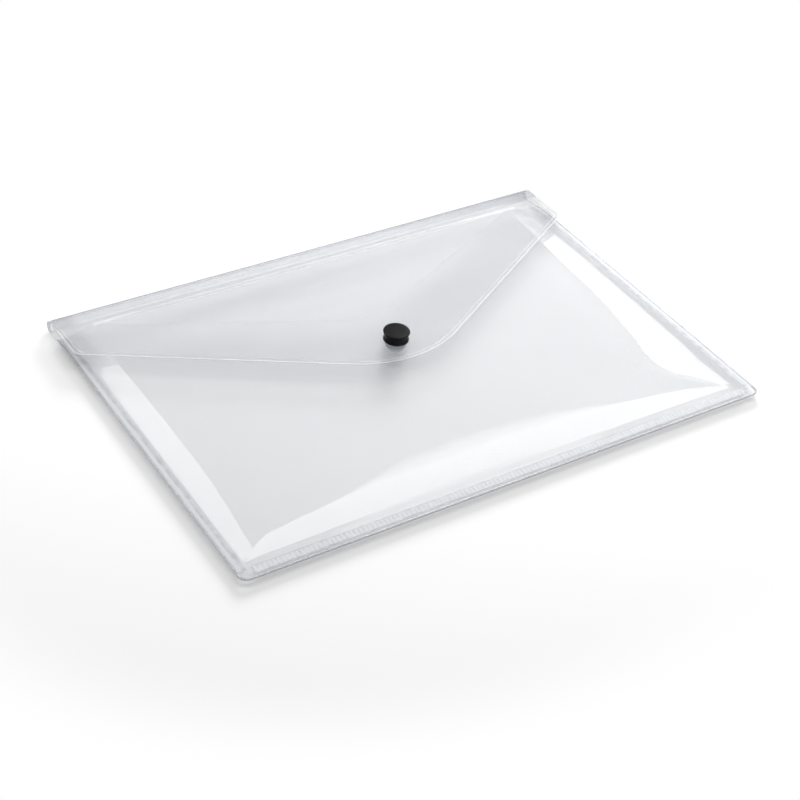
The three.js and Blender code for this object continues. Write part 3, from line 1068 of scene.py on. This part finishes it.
snap_rivet = turned("press_stud_rivet", [
    (0, front_under - 1.0),
    (RIVET_RADIUS - 0.5, front_under - 1.0),
    (RIVET_RADIUS - 0.1, front_under - 0.75),
    (RIVET_RADIUS, front_under - 0.4),
    (RIVET_RADIUS, front_under - 0.1),
    (RIVET_RADIUS - 0.1, front_under),
    (POST_RADIUS, front_under),
    (POST_RADIUS, knob_top - 0.9),
    (0, knob_top - 0.9),
], [smoky_and_shade_finish])
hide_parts("snap_rivet")
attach(snap_rivet, "pocket")


# Table: a white sweep, 8 m across and just clear of the film. Round the wallet it
# takes its shadow, and further out it is as bright as the backdrop, so that no edge
# of it shows.
FLOOR_HALF = 4000.0
FLOOR_Z = -0.2
FLOOR_WHITE = 0.90
FLOOR_GLOW = 0.10
SHADOW_SCALE = (4.35, 5.9, 0)
SHADOW_MIDDLE = (-0.13, -0.295, 0)
SHADOW_FADE = (1.05, 1.4)


def grey(value):
    return (value, value, value, 1)


def seen_rays(nodes):
    """1 for the camera's rays, and for those that are mirrored or let through."""
    seen = nodes.add("ShaderNodeLightPath", output="Is Camera Ray")
    for name in ("Is Glossy Ray", "Is Transmission Ray"):
        other = nodes.add("ShaderNodeLightPath", output=name)
        seen = seen.combine("MAXIMUM", seen, other)
    return seen


def white_table():
    material, nodes, shader = finish("white_table")
    inputs = {0: nodes.place(), 1: SHADOW_SCALE}
    scaled = nodes.add("ShaderNodeVectorMath", {"operation": "MULTIPLY"}, inputs)
    inputs = {0: scaled, 1: SHADOW_MIDDLE}
    reach = nodes.add(
        "ShaderNodeVectorMath", {"operation": "DISTANCE"}, inputs, output="Value",
    )
    far = nodes.steps(reach, *SHADOW_FADE)
    glow = nodes.blend(far, grey(FLOOR_GLOW), grey(1))
    nodes.feed(shader, {
        "Base Color": nodes.blend(far, grey(FLOOR_WHITE), grey(0)),
        "Roughness": 1.0,
        "Specular IOR Level": 0.0,
        "Emission Color": nodes.blend(seen_rays(nodes), grey(0), glow),
        "Emission Strength": 1.0,
    })
    return material


floor_corners = [
    (sign_x * FLOOR_HALF * MM, sign_y * FLOOR_HALF * MM, FLOOR_Z * MM)
    for sign_x, sign_y in ((-1, -1), (1, -1), (1, 1), (-1, 1))
]
floor_mesh = bpy.data.meshes.new("table")
floor_mesh.from_pydata(floor_corners, [], [(0, 1, 2, 3)])
floor_mesh.materials.append(white_table())
table = bpy.data.objects.new("table", floor_mesh)
bpy.context.scene.collection.objects.link(table)


# Studio: the film mirrors a grey room with a lighter right side, and five soft boxes.
# Those overhead show in the pocket's left and lower walls, and a low one in its right
# wall. The key lamp isn't mirrored, and throws the shadow forward and to the left.
HORIZON_LEFT = 0.30
HORIZON_RIGHT = 1.6
HORIZON_DIM = 0.35
CEILING_LEFT = 0.66
CEILING_RIGHT = 1.58
CEILING_DIM = 0.28
CEILING_FROM = (0.48, 0.68)
RIGHT_FROM = (0.20, 0.72)
FAR_RIGHT_FROM = (0.03, 0.15)
HORIZON_TOP = 0.47
HORIZON_FADE = 0.12
SOFT_BOX_HEIGHT = 1.2
world = bpy.data.worlds.new("studio")
bpy.context.scene.world = world
world.use_nodes = True
nodes = Nodes(world.node_tree)
direction = nodes.add("ShaderNodeTexCoord", output="Generated")
rightward, forward, upward = (
    nodes.add("ShaderNodeSeparateXYZ", {}, {0: direction}, output=axis)
    for axis in "XYZ"
)
is_ceiling = nodes.steps(upward, *CEILING_FROM)
is_right = nodes.steps(rightward, *RIGHT_FROM)
is_far_right = nodes.steps(rightward - forward, *FAR_RIGHT_FROM)
is_far_right = is_far_right * nodes.steps(HORIZON_TOP - upward, 0.0, HORIZON_FADE)
ceiling = nodes.blend(is_right, grey(CEILING_LEFT), grey(CEILING_RIGHT))
horizon = nodes.blend(is_far_right, grey(HORIZON_LEFT), grey(HORIZON_RIGHT))
mirrored_room = nodes.blend(is_ceiling, horizon, ceiling)
dim_room = nodes.blend(is_ceiling, grey(HORIZON_DIM), grey(CEILING_DIM))
room = nodes.blend(seen_rays(nodes), dim_room, mirrored_room)
is_camera = nodes.add("ShaderNodeLightPath", output="Is Camera Ray")
backdrop = nodes.blend(is_camera, room, grey(1))
nodes.feed(world.node_tree.nodes["Background"], {"Color": backdrop, "Strength": 1.0})


def add_soft_box(name, place, aim, size, power, shows_in_film=True):
    """A rectangular lamp. Places and sizes are in metres and its power in watts."""
    lamp = bpy.data.lights.new(name, "AREA")
    lamp.shape = "RECTANGLE"
    lamp.size, lamp.size_y = size
    lamp.energy = power
    box = bpy.data.objects.new(name, lamp)
    box.location = place
    away = Vector(place) - Vector(aim)
    box.rotation_euler = away.to_track_quat("Z", "Y").to_euler()
    box.visible_camera = False
    box.visible_glossy = shows_in_film
    bpy.context.scene.collection.objects.link(box)


for name, x, y, size, power in (
    ("overhead_left", -0.20, 0.965, (0.9, 0.73), 5.8),
    ("overhead_right", 0.78, 0.30, (1.2, 0.80), 8.8),
    ("overhead_fade", 0.86, 0.78, (0.52, 0.16), 0.46),
    ("overhead_edge", 0.86, 0.92, (0.52, 0.12), 0.17),
):
    add_soft_box(name, (x, y, SOFT_BOX_HEIGHT), (x, y, 0), size, power)
add_soft_box("low_right", (1.32, 0.99, 0.51), (0, 0, 0), (0.36, 0.80), 2.7)
add_soft_box(
    "key", (1.064, 1.286, 0.52), (0, 0, 0), (0.75, 0.40), 40.0, shows_in_film=False,
)


# Camera: a little left of the wallet's front, looking down on it, tilted slightly. Its
# distance and target are in metres, its lens and sensor in millimetres.
AZIMUTH = radians(-36.15)
ELEVATION = radians(38.29)
ROLL = radians(6.15)
DISTANCE = 1.055
TARGET = Vector((-0.0221, -0.0298, 0))
LENS = 79.6
SENSOR_WIDTH = 36
FILM_LAYERS = 32

back = Vector((
    sin(AZIMUTH) * cos(ELEVATION), -cos(AZIMUTH) * cos(ELEVATION), sin(ELEVATION),
))
level = Vector((0, 0, 1)).cross(back).normalized()
upright = back.cross(level)
right = level * cos(ROLL) + upright * sin(ROLL)
up = upright * cos(ROLL) - level * sin(ROLL)
camera_data = bpy.data.cameras.new("camera")
camera_data.sensor_width = SENSOR_WIDTH
camera_data.lens = LENS
camera = bpy.data.objects.new("camera", camera_data)
axes = Matrix((right, up, back)).transposed().to_4x4()
camera.matrix_world = Matrix.Translation(TARGET + back * DISTANCE) @ axes
bpy.context.scene.collection.objects.link(camera)
bpy.context.scene.camera = camera
bpy.context.scene.view_settings.view_transform = "Standard"
bpy.context.scene.cycles.transparent_max_bounces = FILM_LAYERS
